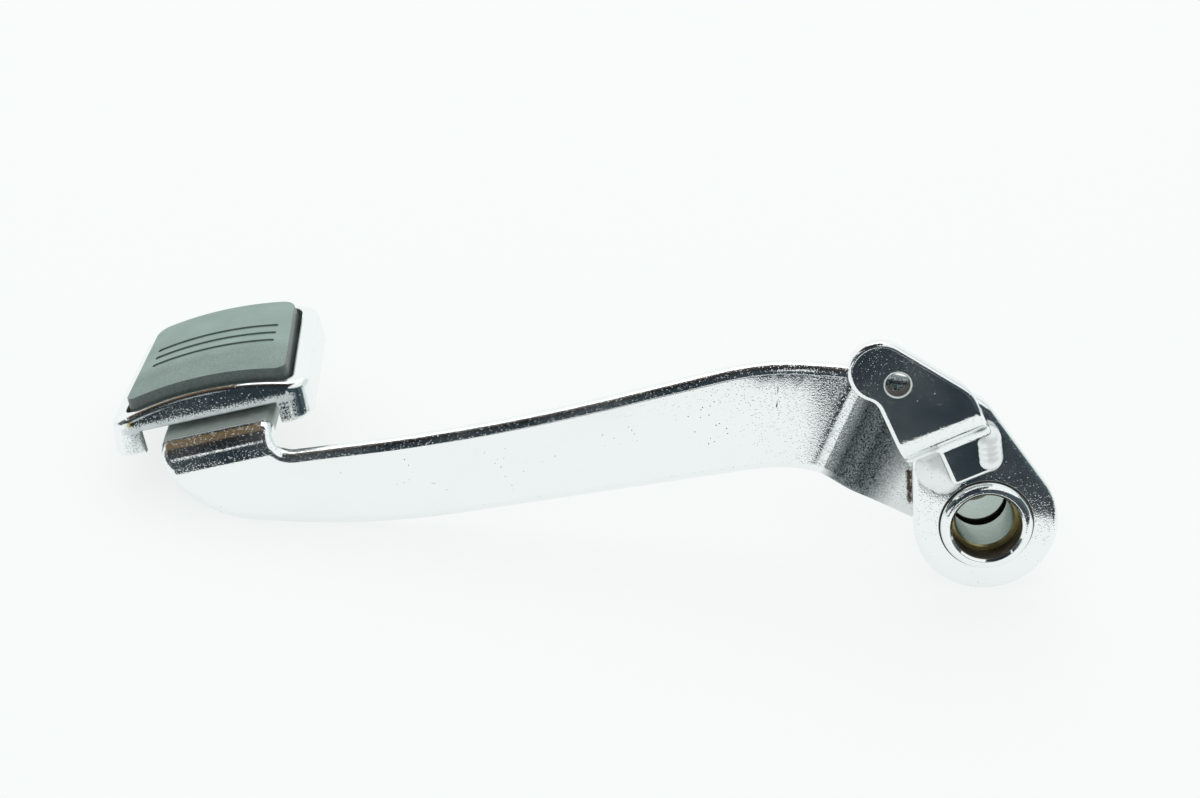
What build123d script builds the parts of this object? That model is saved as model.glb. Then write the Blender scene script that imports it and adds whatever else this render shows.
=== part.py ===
# Rear brake pedal of a motorbike: a joggled flat-bar arm on a bushed pivot tube, with a push-rod
# bracket at the pivot and a rubber-faced cup at the foot end.
# Frame: the origin is on the pivot axis at mid-length of the tube, +Y runs along the pivot axis
# away from the push-rod side, the arm reaches to -X, and +Z is up.
import os
from math import cos, radians, sin

from build123d import *

os.makedirs("parts", exist_ok=True)

# Pivot tube and its two bushes
tube_diameter = 25.4
tube_length = 44.0
tube_rim_round = 2.0
tube_mouth_chamfer = 0.8
bush_seat_diameter = 19.05
bush_bore_diameter = 15.9
bush_length = 14.0
bush_recess = 6.2
bush_edge_chamfer = 0.5

# Pivot plate: a flat egg round the tube, its small end towards the push-rod pin
plate_thickness = 6.0
plate_radius = 19.8
plate_tip_radius = 12.1
plate_tip_distance = 27.6
plate_angle = 113.0
plate_edge_round = 1.5
tube_proud = 2.6

# Flat-bar arm: thickness, edge rounding, joggle, and the corners of its side outline
bar_thickness = 6.35
bar_edge_round = 2.8
joggle_offset = 9.4
joggle_turn = 45.0
joggle_mid_radius = 9.0
joggle_line_angle = 70.6
joggle_distance = 41.0
eye_radius = 17.0
eye_side_angle = 39.0
arm_top_z = 38.4
arm_end_round = 14.0
shoulder_x = -63.6
shoulder_round = 75.0
waist_x = -142.0
waist_z = 13.8
waist_round = 600.0
belly_x = -47.5
belly_z = 9.3
belly_round = 58.0
throat_x = -15.0
throat_z = -4.4
throat_round = 3.0
sole_x = -170.9
sole_round = 230.0
heel_z = -17.6
heel_round = 30.0

# Foot tab: the end of the bar, bent back under the pad
tab_x = -215.8
tab_z = -1.2
tab_width = 33.7
tab_length = 50.0
tab_tilt = 15.65
tab_rise = 7.45
tab_bend_radius = 9.3
tab_fillet = 5.5
tab_corner_round = 6.0

# Push-rod bracket: a Z-bent stamping welded to the plate
bracket_thickness = 4.8
bracket_standoff = 8.0
bracket_turn = 65.0
bracket_mid_radius = 6.0
bracket_angle = 117.6
bracket_foot = 16.0
bracket_bend_start = 26.4
flange_left = -3.5
flange_right = 8.2
flange_corner_round = 1.5
bracket_right = 11.6
bracket_left = -12.6
bracket_edge_angle = 33.5
bracket_shoulder_round = 12.0
bracket_edge_round = 1.1
lobe_radius = 8.4
lobe_across = -8.5
lobe_up = 57.8
neck_round = 5.0
pin_hole_diameter = 6.4
pin_hole_chamfer = 0.4
pin_hole_up = 52.9
pin_hole_across = -5.5

# Weld beads: a row of rippled drops, and a smooth bead of overlapping domes
ripple_radius = 4.2
ripple_height = 1.6
ripple_pitch = 1.7
ripple_count = 4
ripple_side = -0.3
ripple_start = 3.4
dome_height = 3.6
dome_across = -5.0
dome_up = 21.0
dome_foot_radius = 7.2
low_dome_height = 2.6
low_dome_across = -5.0
low_dome_up = 18.0
low_dome_foot_radius = 5.4
tube_weld_leg = 2.7

# Pad cup and rubber, measured from the tab's top face at the end of its bend
pad_shift = -1.05
cup_front = 3.8
cup_length = 53.0
cup_front_width = 60.0
cup_back_width = 55.0
cup_corner_round = 6.5
cup_skirt = 4.2
cup_front_lean = 12.0
cup_right_lean = -3.0
cup_back_lean = 2.0
cup_left_lean = 8.0
cup_rim_level = 7.0
cup_lip_round = 1.0
cup_wall = 2.5
cup_seat_height = 2.0
cup_floor = 1.6
cup_crown_height = 9.9
crown_radius = 100.0
cup_rim_round = 2.2
notch_width = 41.2
notch_shift = -0.6
notch_level = 2.6
rim_side_width = 4.5
rim_end_width = 2.9
rubber_gap = 0.8
rubber_crown_height = 13.0
rubber_draft = 5.0
rubber_edge_round = 1.3
groove_count = 3
groove_pitch = 4.9
groove_width = 1.9
groove_depth = 1.2
groove_length = 37.5
groove_back_set = 0.9

# Pad fixings
stud_diameter = 6.0
stud_spacing = 24.0
stud_tail = 2.0
stud_hole_clearance = 0.4
boss_diameter = 15.0
washer_diameter = 12.5
washer_thickness = 1.4
nut_across_flats = 10.0
nut_height = 5.0

# Depths along the pivot axis
tube_front = -tube_length / 2
plate_front = tube_front + tube_proud
plate_back = plate_front + plate_thickness
eye_back = plate_back + bar_thickness
arm_face = plate_back + joggle_offset
span = tube_length + 2 * cup_length


def across_pivot(y):
    """Sketch plane square to the pivot axis at depth y, facing the push-rod side."""
    return Plane.XZ.offset(-y)


def ramp_length(offset, mid_radius, turn):
    """Straight run between the two bends of an S-bend that shifts a sheet sideways by offset."""
    return (offset - 2 * mid_radius * (1 - cos(radians(turn)))) / sin(radians(turn))


# Pivot tube, rounded outside and chamfered inside at both ends
with BuildPart() as pivot_tube:
    with BuildSketch(across_pivot(tube_front)):
        Circle(tube_diameter / 2)
        Circle(bush_seat_diameter / 2, mode=Mode.SUBTRACT)
    extrude(amount=-tube_length)
    chamfer(pivot_tube.edges().filter_by(GeomType.CIRCLE).group_by(SortBy.RADIUS)[0], tube_mouth_chamfer)
    fillet(pivot_tube.edges().filter_by(GeomType.CIRCLE).group_by(SortBy.RADIUS)[-1], tube_rim_round)
pivot_tube.part.label = "pivot_tube"
export_step(pivot_tube.part, "parts/pivot_tube.step")

# Two lined bushes pressed into the tube from its ends
bush_starts = {
    "front_bush": tube_front + bush_recess,
    "rear_bush": tube_length / 2 - bush_recess - bush_length,
}
for bush_name, bush_start in bush_starts.items():
    with BuildPart() as bush:
        with BuildSketch(across_pivot(bush_start)):
            Circle(bush_seat_diameter / 2)
            Circle(bush_bore_diameter / 2, mode=Mode.SUBTRACT)
        extrude(amount=-bush_length)
        chamfer(bush.edges().filter_by(GeomType.CIRCLE).group_by(SortBy.RADIUS)[0], bush_edge_chamfer)
    bush.part.label = bush_name
    export_step(bush.part, f"parts/{bush_name}.step")

# Pivot plate, the hull of a large circle round the tube and a small one at the tip
plate_tip = (plate_tip_distance * cos(radians(plate_angle)), plate_tip_distance * sin(radians(plate_angle)))
with BuildPart() as pivot_plate:
    with BuildSketch(across_pivot(plate_front)):
        with BuildLine():
            CenterArc((0, 0), plate_radius, 0, 360)
            CenterArc(plate_tip, plate_tip_radius, 0, 360)
        make_hull()
    extrude(amount=-plate_thickness)
    broad_faces = pivot_plate.faces().filter_by(Axis.Y)
    fillet(broad_faces.edges(), plate_edge_round)
    with BuildSketch(across_pivot(plate_front)):
        Circle(tube_diameter / 2)
    extrude(amount=-plate_thickness, mode=Mode.SUBTRACT)
pivot_plate.part.label = "pivot_plate"
export_step(pivot_plate.part, "parts/pivot_plate.step")

# Directions of the foot tab: along its bend, and up square to the bend in the arm's own plane
tilt = radians(tab_tilt)
rise = radians(tab_rise)
along_bend = Vector(cos(tilt), 0, sin(tilt))
up_arm = Vector(-sin(tilt), 0, cos(tilt))
bend_middle = Vector(tab_x, arm_face, tab_z)
tab_edge = along_bend * (tab_width / 2)
bend_profile = Plane(origin=bend_middle, x_dir=(0, 1, 0), z_dir=along_bend)

# Directions of the joggle: its bend lines slant, and the profile is drawn square to them
slant = radians(joggle_line_angle)
joggle_across = (sin(slant), 0, -cos(slant))
joggle_profile = Plane(origin=(0, 0, 0), x_dir=joggle_across, z_dir=(cos(slant), 0, sin(slant)))
joggle_ramp = ramp_length(joggle_offset, joggle_mid_radius, joggle_turn)
joggle_reach = 2 * joggle_mid_radius * sin(radians(joggle_turn)) + joggle_ramp * cos(radians(joggle_turn))

# Corners of the arm's side outline as (x, z), with the radius that rounds each of them
heel_drop = (heel_z - (bend_middle - tab_edge).Z) / up_arm.Z
heel = bend_middle - tab_edge + up_arm * heel_drop
tab_left_top = bend_middle - tab_edge + up_arm * tab_length
tab_right = bend_middle + tab_edge
tab_right_top = tab_right + up_arm * tab_length
eye_side = radians(eye_side_angle)
eye_tangent = (eye_radius * cos(eye_side), eye_radius * sin(eye_side))
end_run = (arm_top_z - eye_tangent[1]) / cos(eye_side)
end_corner = (eye_tangent[0] - end_run * sin(eye_side), arm_top_z)
arm_corners = {
    (tab_left_top.X, tab_left_top.Z): 0,
    (heel.X, heel.Z): heel_round,
    (sole_x, heel_z): sole_round,
    (belly_x, belly_z): belly_round,
    (throat_x, throat_z): 0,
    eye_tangent: 0,
    end_corner: arm_end_round,
    (shoulder_x, arm_top_z): shoulder_round,
    (waist_x, waist_z): waist_round,
    (tab_right.X, tab_right.Z): tab_fillet,
    (tab_right_top.X, tab_right_top.Z): 0,
}

# Pad frame: on the tab's top face where its bend ends, x across the pad, y away from the arm
pad_back = Vector(0, cos(rise), 0) + up_arm * sin(rise)
pad_normal = up_arm * cos(rise) - Vector(0, sin(rise), 0)
bend_depth = Vector(0, tab_bend_radius * (1 - sin(rise)), 0)
bend_end = bend_middle + bend_depth + up_arm * (tab_bend_radius * cos(rise))
pad_frame = Plane(origin=bend_end + along_bend * pad_shift, x_dir=along_bend, z_dir=pad_normal)
pad_middle = cup_front + cup_length / 2
stud_points = [(-pad_shift, pad_middle - stud_spacing / 2), (-pad_shift, pad_middle + stud_spacing / 2)]

# Flat-bar arm: a bar bent back at the foot and a bar joggled at the pivot run into each other,
# the side outline trims both, and the long edges are rounded as on polished bar
with BuildPart() as pedal_arm:
    with BuildSketch(bend_profile):
        with BuildLine():
            Line((0, -span), (0, 0))
            bend = JernArc((0, 0), (0, 1), tab_bend_radius, tab_rise - 90)
            Line(bend @ 1, bend @ 1 + bend % 1 * tab_length)
            offset(amount=bar_thickness, side=Side.RIGHT)
        make_face()
    extrude(amount=waist_x - tab_x, both=True)
    with BuildSketch(joggle_profile):
        with BuildLine():
            run = Line((waist_x - tab_width / 2, arm_face), (-joggle_distance - joggle_reach / 2, arm_face))
            first = JernArc(run @ 1, (1, 0), joggle_mid_radius - bar_thickness / 2, -joggle_turn)
            ramp = Line(first @ 1, first @ 1 + first % 1 * joggle_ramp)
            second = JernArc(ramp @ 1, ramp % 1, joggle_mid_radius + bar_thickness / 2, joggle_turn)
            Line(second @ 1, second @ 1 + (span, 0))
            offset(amount=bar_thickness, side=Side.LEFT)
        make_face()
    extrude(amount=span, both=True)
    with BuildSketch(Plane.XZ) as arm_outline:
        with BuildLine():
            FilletPolyline(*arm_corners.keys(), radius=list(arm_corners.values()), close=True)
        make_face()
        Circle(eye_radius)
        throat = Vector(throat_x, throat_z).normalized() * eye_radius
        fillet(arm_outline.vertices().sort_by_distance(throat)[0], throat_round)
    extrude(amount=span, both=True, mode=Mode.INTERSECT)
    tab_corners = pedal_arm.edges().filter_by(Axis((0, 0, 0), pad_normal)).sort_by(Axis.Y)[-2:]
    fillet(tab_corners, tab_corner_round)
    bend_lines = [Axis.Y, Axis((0, 0, 0), along_bend), Axis((0, 0, 0), joggle_profile.z_dir)]
    long_edges = pedal_arm.edges()
    for bend_line in bend_lines:
        long_edges = long_edges.filter_by(bend_line, reverse=True)
    long_edges = long_edges.filter_by(Axis((0, 0, 0), pad_normal), reverse=True)
    fillet(long_edges, bar_edge_round)
    with BuildSketch(across_pivot(plate_back)):
        Circle(tube_diameter / 2)
    extrude(amount=-bar_thickness, mode=Mode.SUBTRACT)
    with BuildSketch(pad_frame):
        with Locations(*stud_points):
            Circle((stud_diameter + stud_hole_clearance) / 2)
    extrude(amount=-bar_thickness, mode=Mode.SUBTRACT)
pedal_arm.part.label = "pedal_arm"
export_step(pedal_arm.part, "parts/pedal_arm.step")

# Push-rod bracket: its own directions in the side view, and its bend profile
lean = radians(bracket_angle)
up_bracket = Vector(cos(lean), 0, sin(lean))
across_bracket = Vector(sin(lean), 0, -cos(lean))
bracket_profile = Plane(origin=(0, 0, 0), x_dir=up_bracket, z_dir=up_bracket.cross(Vector(0, 1, 0)))
bracket_side = Plane(origin=(0, 0, 0), x_dir=across_bracket, z_dir=(0, -1, 0))
flange_face = plate_front - bracket_thickness
pin_face = flange_face - bracket_standoff
bracket_ramp = ramp_length(bracket_standoff, bracket_mid_radius, bracket_turn)
web_start = bracket_bend_start + bracket_edge_round
pin_point = (pin_hole_across, pin_hole_up)
lobe_point = (lobe_across, lobe_up)
edge_turn = radians(bracket_edge_angle)
lobe_tangent = (lobe_across + lobe_radius * cos(edge_turn), lobe_up + lobe_radius * sin(edge_turn))
edge_run = (bracket_right - lobe_tangent[0]) / sin(edge_turn)
bracket_corners = {
    (flange_left, bracket_foot): flange_corner_round,
    (flange_right, bracket_foot): flange_corner_round,
    (bracket_right, web_start): bracket_shoulder_round,
    (bracket_right, lobe_tangent[1] - edge_run * cos(edge_turn)): bracket_shoulder_round,
    lobe_tangent: 0,
    lobe_point: 0,
    (bracket_left, lobe_up): 0,
    (bracket_left, web_start): flange_corner_round,
    (flange_left, web_start): flange_corner_round,
}
with BuildPart() as pushrod_bracket:
    with BuildSketch(bracket_profile):
        with BuildLine():
            foot = Line((bracket_foot - span, flange_face), (bracket_bend_start, flange_face))
            first = JernArc(foot @ 1, (1, 0), bracket_mid_radius - bracket_thickness / 2, -bracket_turn)
            ramp = Line(first @ 1, first @ 1 + first % 1 * bracket_ramp)
            second = JernArc(ramp @ 1, ramp % 1, bracket_mid_radius + bracket_thickness / 2, bracket_turn)
            Line(second @ 1, second @ 1 + (span, 0))
            offset(amount=bracket_thickness, side=Side.LEFT)
        make_face()
    extrude(amount=span, both=True)
    with BuildSketch(bracket_side) as bracket_outline:
        with BuildLine():
            FilletPolyline(*bracket_corners.keys(), radius=list(bracket_corners.values()), close=True)
        make_face()
        with Locations(lobe_point):
            Circle(lobe_radius)
        neck = bracket_outline.vertices().sort_by_distance((bracket_left, lobe_up - lobe_radius))[0]
        fillet(neck, neck_round)
    extrude(amount=span, both=True, mode=Mode.INTERSECT)
    bracket_edges = pushrod_bracket.edges()
    for bend_line in [Axis.Y, Axis((0, 0, 0), across_bracket)]:
        bracket_edges = bracket_edges.filter_by(bend_line, reverse=True)
    fillet(bracket_edges, bracket_edge_round)
    with BuildSketch(bracket_side.offset(-pin_face)):
        with Locations(pin_point):
            Circle(pin_hole_diameter / 2)
    extrude(amount=-bracket_thickness, mode=Mode.SUBTRACT)
    rims = pushrod_bracket.edges().filter_by(GeomType.CIRCLE)
    chamfer(rims.filter_by(lambda rim: abs(rim.radius - pin_hole_diameter / 2) < 1e-6), pin_hole_chamfer)
pushrod_bracket.part.label = "pushrod_bracket"
export_step(pushrod_bracket.part, "parts/pushrod_bracket.step")

# Rippled weld up the right side of the bracket's foot: a row of drops sunk into the corner
drop_plane = bracket_side.offset(ripple_height - plate_front)
seam = Vector(bracket_right - flange_right, web_start - bracket_foot).normalized()
seam_start = Vector(flange_right + ripple_side, bracket_foot + ripple_start)
drop_points = [seam_start + seam * (ripple_pitch * i) for i in range(ripple_count)]
with BuildPart() as right_weld:
    with Locations(*[drop_plane.from_local_coords(point) for point in drop_points]):
        Sphere(ripple_radius)
    split(bisect_by=across_pivot(plate_front), keep=Keep.TOP)
    add(pushrod_bracket.part, mode=Mode.SUBTRACT)
right_weld.part.label = "right_weld"
export_step(right_weld.part, "parts/right_weld.step")

# Smooth weld at the left end of the bracket's foot: two domes that run into each other on the plate
domes = [
    (dome_across, dome_up, dome_foot_radius, dome_height),
    (low_dome_across, low_dome_up, low_dome_foot_radius, low_dome_height),
]
with BuildPart() as left_weld:
    for across, up, foot_radius, height in domes:
        dome_radius = (foot_radius**2 + height**2) / (2 * height)
        dome_plane = bracket_side.offset(height - dome_radius - plate_front)
        with Locations(dome_plane.from_local_coords((across, up))):
            Sphere(dome_radius)
    split(bisect_by=across_pivot(plate_front), keep=Keep.TOP)
    extrude(bracket_outline.sketch, amount=span, both=True, mode=Mode.SUBTRACT)
left_weld.part.label = "left_weld"
export_step(left_weld.part, "parts/left_weld.step")

# Weld bead round the tube where it leaves the back of the arm
bead_foot = tube_diameter / 2 + tube_weld_leg
with BuildPart() as tube_weld:
    with BuildSketch(Plane.XY):
        with BuildLine():
            Line((bead_foot, eye_back), (tube_diameter / 2, eye_back))
            Line((tube_diameter / 2, eye_back), (tube_diameter / 2, eye_back + tube_weld_leg))
            ThreePointArc(
                (tube_diameter / 2, eye_back + tube_weld_leg),
                (tube_diameter / 2 + tube_weld_leg * 0.6, eye_back + tube_weld_leg * 0.6),
                (bead_foot, eye_back),
            )
        make_face()
    revolve(axis=Axis.Y)
tube_weld.part.label = "tube_weld"
export_step(tube_weld.part, "parts/tube_weld.step")


def pad_plan(side_inset, end_inset):
    """Corners of the cup's plan, wider at the front, drawn in by the two insets."""
    front_half = cup_front_width / 2 - side_inset
    back_half = cup_back_width / 2 - side_inset
    front_v = cup_front + end_inset
    back_v = cup_front + cup_length - end_inset
    return [(-front_half, front_v), (front_half, front_v), (back_half, back_v), (-back_half, back_v)]


# Levels above the tab's top face, and the axis that the pad's crown is struck from
pocket_level = cup_seat_height + cup_floor
rubber_crown_radius = crown_radius + rubber_crown_height - cup_crown_height
crown_axis = pad_frame.from_local_coords((0, 0, cup_crown_height - crown_radius))
crown_plane = Plane(origin=crown_axis, x_dir=along_bend, z_dir=pad_back)
pad_depth = cup_front + cup_length


def cup_walls(inset):
    """Planes of the cup's four leaning walls, drawn in by the inset, each facing outwards."""
    corners = pad_plan(inset, inset)
    leans = [cup_front_lean, cup_right_lean, cup_back_lean, cup_left_lean]
    walls = []
    for i, lean_angle in enumerate(leans):
        start = pad_frame.from_local_coords((*corners[i], cup_rim_level))
        end = pad_frame.from_local_coords((*corners[(i + 1) % 4], cup_rim_level))
        side = (end - start).normalized()
        outward = side.cross(pad_normal) * cos(radians(lean_angle)) + pad_normal * sin(radians(lean_angle))
        walls.append(Plane(origin=start, x_dir=side, z_dir=outward))
    return walls


def is_upright(edge):
    """True for an edge that runs nearly square to the pad."""
    return abs((edge @ 1 - edge @ 0).normalized().dot(pad_normal)) > 0.8


# Hollow under the cup, within walls of one thickness
with BuildPart() as cup_hollow:
    with BuildSketch(pad_frame.offset(-cup_skirt)):
        with Locations((0, pad_middle)):
            Rectangle(2 * cup_front_width, 2 * cup_length)
    extrude(amount=cup_skirt + cup_seat_height)
    for wall in cup_walls(cup_wall):
        split(bisect_by=wall, keep=Keep.BOTTOM)
    fillet(cup_hollow.edges().filter_by(is_upright), cup_corner_round - cup_wall)

# Pad cup: a crowned tray with leaning walls, open below, a pocket for the rubber and two seats on the tab
with BuildPart() as pad_cup:
    with BuildSketch(pad_frame.offset(-cup_skirt)):
        with Locations((0, pad_middle)):
            Rectangle(2 * cup_front_width, 2 * cup_length)
    extrude(amount=cup_skirt + cup_crown_height)
    for wall in cup_walls(0):
        split(bisect_by=wall, keep=Keep.BOTTOM)
    fillet(pad_cup.edges().filter_by(is_upright), cup_corner_round)
    with BuildSketch(crown_plane):
        Circle(crown_radius)
    extrude(amount=2 * pad_depth, both=True, mode=Mode.INTERSECT)
    crown_face = pad_cup.faces().sort_by(Axis(pad_frame.origin, pad_normal))[-1]
    fillet(crown_face.edges(), cup_rim_round)
    foot_face = pad_cup.faces().sort_by(Axis(pad_frame.origin, pad_normal))[0]
    fillet(foot_face.edges(), cup_lip_round)
    with BuildSketch(pad_frame.offset(pocket_level)):
        with BuildLine():
            FilletPolyline(
                *pad_plan(rim_side_width, rim_end_width), radius=cup_corner_round - rim_end_width, close=True
            )
        make_face()
    extrude(amount=cup_crown_height, mode=Mode.SUBTRACT)
    add(cup_hollow.part, mode=Mode.SUBTRACT)
    with BuildSketch(pad_frame.offset(-cup_skirt)):
        with Locations((notch_shift, cup_front)):
            Rectangle(notch_width, 2.5 * cup_wall)
    extrude(amount=cup_skirt + notch_level, mode=Mode.SUBTRACT)
    with BuildSketch(pad_frame):
        with Locations(*stud_points):
            Circle(boss_diameter / 2)
    extrude(amount=cup_seat_height)
    with BuildSketch(pad_frame):
        with Locations(*stud_points):
            Circle(stud_diameter / 2)
    extrude(amount=pocket_level, mode=Mode.SUBTRACT)
pad_cup.part.label = "pad_cup"
export_step(pad_cup.part, "parts/pad_cup.step")

# Cutter for the rubber's cross grooves, of one depth below the crown
with BuildPart() as groove_cutter:
    with BuildSketch(pad_frame):
        with Locations((0, pad_middle + groove_back_set)):
            with GridLocations(0, groove_pitch, 1, groove_count):
                SlotOverall(groove_length, groove_width)
    extrude(amount=2 * rubber_crown_height)
    with BuildSketch(crown_plane):
        Circle(rubber_crown_radius - groove_depth)
    extrude(amount=pad_depth, mode=Mode.SUBTRACT)

# Rubber pad: a drafted, crowned block standing out of the cup's pocket
with BuildPart() as pad_rubber:
    with BuildSketch(pad_frame.offset(pocket_level)):
        with BuildLine():
            FilletPolyline(
                *pad_plan(rim_side_width + rubber_gap, rim_end_width + rubber_gap),
                radius=cup_corner_round - rim_end_width,
                close=True,
            )
        make_face()
    extrude(amount=rubber_crown_height, taper=rubber_draft)
    with BuildSketch(crown_plane):
        Circle(rubber_crown_radius)
    extrude(amount=pad_depth, mode=Mode.INTERSECT)
    crown_face = pad_rubber.faces().sort_by(Axis(pad_frame.origin, pad_normal))[-1]
    fillet(crown_face.edges(), rubber_edge_round)
    add(groove_cutter.part, mode=Mode.SUBTRACT)
pad_rubber.part.label = "pad_rubber"
export_step(pad_rubber.part, "parts/pad_rubber.step")

# Two studs, flush with the pocket floor, and the washers and nuts that draw the cup onto the tab
washer_level = -bar_thickness - washer_thickness
nut_level = washer_level - nut_height
with BuildPart() as pad_studs:
    with BuildSketch(pad_frame.offset(nut_level - stud_tail)):
        with Locations(*stud_points):
            Circle(stud_diameter / 2)
    extrude(amount=pocket_level - nut_level + stud_tail)
pad_studs.part.label = "pad_studs"
export_step(pad_studs.part, "parts/pad_studs.step")

with BuildPart() as pad_washers:
    with BuildSketch(pad_frame.offset(washer_level)):
        with Locations(*stud_points):
            Circle(washer_diameter / 2)
            Circle((stud_diameter + stud_hole_clearance) / 2, mode=Mode.SUBTRACT)
    extrude(amount=washer_thickness)
pad_washers.part.label = "pad_washers"
export_step(pad_washers.part, "parts/pad_washers.step")

with BuildPart() as pad_nuts:
    with BuildSketch(pad_frame.offset(nut_level)):
        with Locations(*stud_points):
            RegularPolygon(nut_across_flats / 2, 6, major_radius=False)
            Circle(stud_diameter / 2, mode=Mode.SUBTRACT)
    extrude(amount=nut_height)
pad_nuts.part.label = "pad_nuts"
export_step(pad_nuts.part, "parts/pad_nuts.step")
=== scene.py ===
# %% [markdown]
# A chromed rear brake pedal
#
# The pedal is a flat steel bar that turns on a tube at one end and carries a rubber foot pad at the
# other. Its form comes from the CAD model, which is loaded first and never moved. What is added here is
# what the eye needs: worn chrome, melted weld beads, a softer bend in the bar, a moulded rubber pad,
# light, a floor and a camera.

from math import cos, radians, sin, tan

import bmesh
import bpy
from mathutils import Matrix, Vector


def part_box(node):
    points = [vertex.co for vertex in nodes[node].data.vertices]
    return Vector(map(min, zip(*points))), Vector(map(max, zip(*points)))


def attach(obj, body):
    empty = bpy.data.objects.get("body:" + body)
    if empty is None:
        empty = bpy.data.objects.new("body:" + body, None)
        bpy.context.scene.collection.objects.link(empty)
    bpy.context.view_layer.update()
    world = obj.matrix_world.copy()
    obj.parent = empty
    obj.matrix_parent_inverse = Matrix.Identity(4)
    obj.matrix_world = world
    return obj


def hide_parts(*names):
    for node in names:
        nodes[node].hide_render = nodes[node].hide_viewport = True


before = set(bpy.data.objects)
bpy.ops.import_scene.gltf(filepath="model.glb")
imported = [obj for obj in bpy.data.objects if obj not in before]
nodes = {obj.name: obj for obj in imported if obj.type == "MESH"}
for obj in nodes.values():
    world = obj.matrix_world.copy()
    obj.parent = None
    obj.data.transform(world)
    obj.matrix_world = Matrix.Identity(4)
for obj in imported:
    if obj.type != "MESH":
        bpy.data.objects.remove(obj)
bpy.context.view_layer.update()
mm = 0.001
print("CAD nodes:", sorted(nodes))

# %% [markdown]
# Helpers for materials
#
# A colour is given as an sRGB hex value, but shaders count in linear light, so one function converts
# it. Every material below is a chain of nodes. One function adds a node, sets its values and links its
# inputs, so each line of a material reads like one node in the editor. Where labels repeat on a node,
# an input goes by its number: Map Range takes a value as 0, the range it comes from as 1 and 2 and the
# range it goes to as 3 and 4. Mix takes the factor as 0, two numbers as 2 and 3 or two colours as 6
# and 7, and gives a colour as output 2.

# %% Colour and node helpers
def colour(hex_value):
    parts = [int(hex_value[i : i + 2], 16) / 255 for i in (1, 3, 5)]
    linear = [c / 12.92 if c <= 0.04045 else ((c + 0.055) / 1.055) ** 2.4 for c in parts]
    return (*linear, 1.0)


def add(tree, kind, inputs, **settings):
    node = tree.nodes.new(kind)
    for name, value in settings.items():
        setattr(node, name, value)
    for name, value in inputs.items():
        if isinstance(value, bpy.types.NodeSocket):
            tree.links.new(value, node.inputs[name])
        else:
            node.inputs[name].default_value = value
    return node


def new_material(name):
    material = bpy.data.materials.new(name)
    material.use_nodes = True
    tree = material.node_tree
    shader = tree.nodes["Principled BSDF"]
    place = add(tree, "ShaderNodeTexCoord", {}).outputs["Object"]
    return material, tree, shader, place


print("white is", colour("#ffffff"), "and mid grey is", [round(c, 3) for c in colour("#808080")])

# %% [markdown]
# Foot axes
#
# The bar's end is bent back into a tab that leans two ways: 15.65 degrees up to the right and 7.45
# degrees up to the back. The cup and the rubber sit square on that tab. Its three directions and its
# front point are worked out once here, and the materials and the rubber pad are measured along them.

# %% Foot axes
tab_tilt, tab_rise = radians(15.65), radians(7.45)
across = Vector((cos(tab_tilt), 0, sin(tab_tilt)))
up_tab = Vector((-sin(tab_tilt), 0, cos(tab_tilt)))
back = Vector((0, cos(tab_rise), 0)) + up_tab * sin(tab_rise)
out = across.cross(back)
tab_front = Vector((-219.299, 4.094, 7.397)) * mm
print("out of the pad:", [round(v, 3) for v in out])

# %% [markdown]
# Chrome plate, part 1: pits and stains
#
# Chrome shows almost nothing of itself, only what stands around it, so its own colour is nearly white.
# Its age shows in small ways. Pits are a few tenths of a millimetre wide: a Voronoi texture gives one
# point per cell, the cell is cut down to a dot, and the dot is kept only where a broad noise is high.
# More pits lower that limit. A stain is an oval patch about a point, with its rim eaten away by a fine
# noise. It is given as a point and three radii in millimetres, and a colour.

# %% Pits and stains
pit_spacing, pit_patch, stain_grain = 1.5 * mm, 14 * mm, 0.8 * mm
dot_full, dot_ends = 0.07, 0.13
patch_starts, patch_full = 0.62, 0.72
stain_starts, stain_full = 0.16, 0.34


def pit_mask(tree, place, pits):
    cells = add(tree, "ShaderNodeTexVoronoi", {"Vector": place, "Scale": 1 / pit_spacing})
    dots = {0: cells.outputs["Distance"], 1: dot_full, 2: dot_ends, 3: 1.0, 4: 0.0}
    dots = add(tree, "ShaderNodeMapRange", dots).outputs[0]
    patches = add(tree, "ShaderNodeTexNoise", {"Vector": place, "Scale": 1 / pit_patch, "Detail": 2.0})
    kept = {0: patches.outputs[0], 1: patch_starts - pits, 2: patch_full - pits}
    kept = add(tree, "ShaderNodeMapRange", kept).outputs[0]
    return add(tree, "ShaderNodeMath", {0: dots, 1: kept}, operation="MULTIPLY").outputs[0]


def stain_over(tree, place, body, stains):
    speckle = {"Vector": place, "Scale": 1 / stain_grain, "Detail": 3.0}
    speckle = add(tree, "ShaderNodeTexNoise", speckle).outputs[0]
    for point, radii, stain in stains:
        off = add(tree, "ShaderNodeVectorMath", {0: place, 1: Vector(point) * mm}, operation="SUBTRACT")
        oval = {0: off.outputs[0], 1: Vector(radii) * mm}
        oval = add(tree, "ShaderNodeVectorMath", oval, operation="DIVIDE").outputs[0]
        far = add(tree, "ShaderNodeVectorMath", {0: oval}, operation="LENGTH").outputs["Value"]
        spot = add(tree, "ShaderNodeMapRange", {0: far, 1: 0.0, 2: 1.0, 3: 1.0, 4: 0.0}).outputs[0]
        eaten = add(tree, "ShaderNodeMath", {0: spot, 1: speckle}, operation="MULTIPLY").outputs[0]
        fade = add(tree, "ShaderNodeMapRange", {0: eaten, 1: stain_starts, 2: stain_full}).outputs[0]
        tones = {0: fade, 6: body, 7: colour(stain)}
        body = add(tree, "ShaderNodeMix", tones, data_type="RGBA").outputs[2]
    return body


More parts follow.
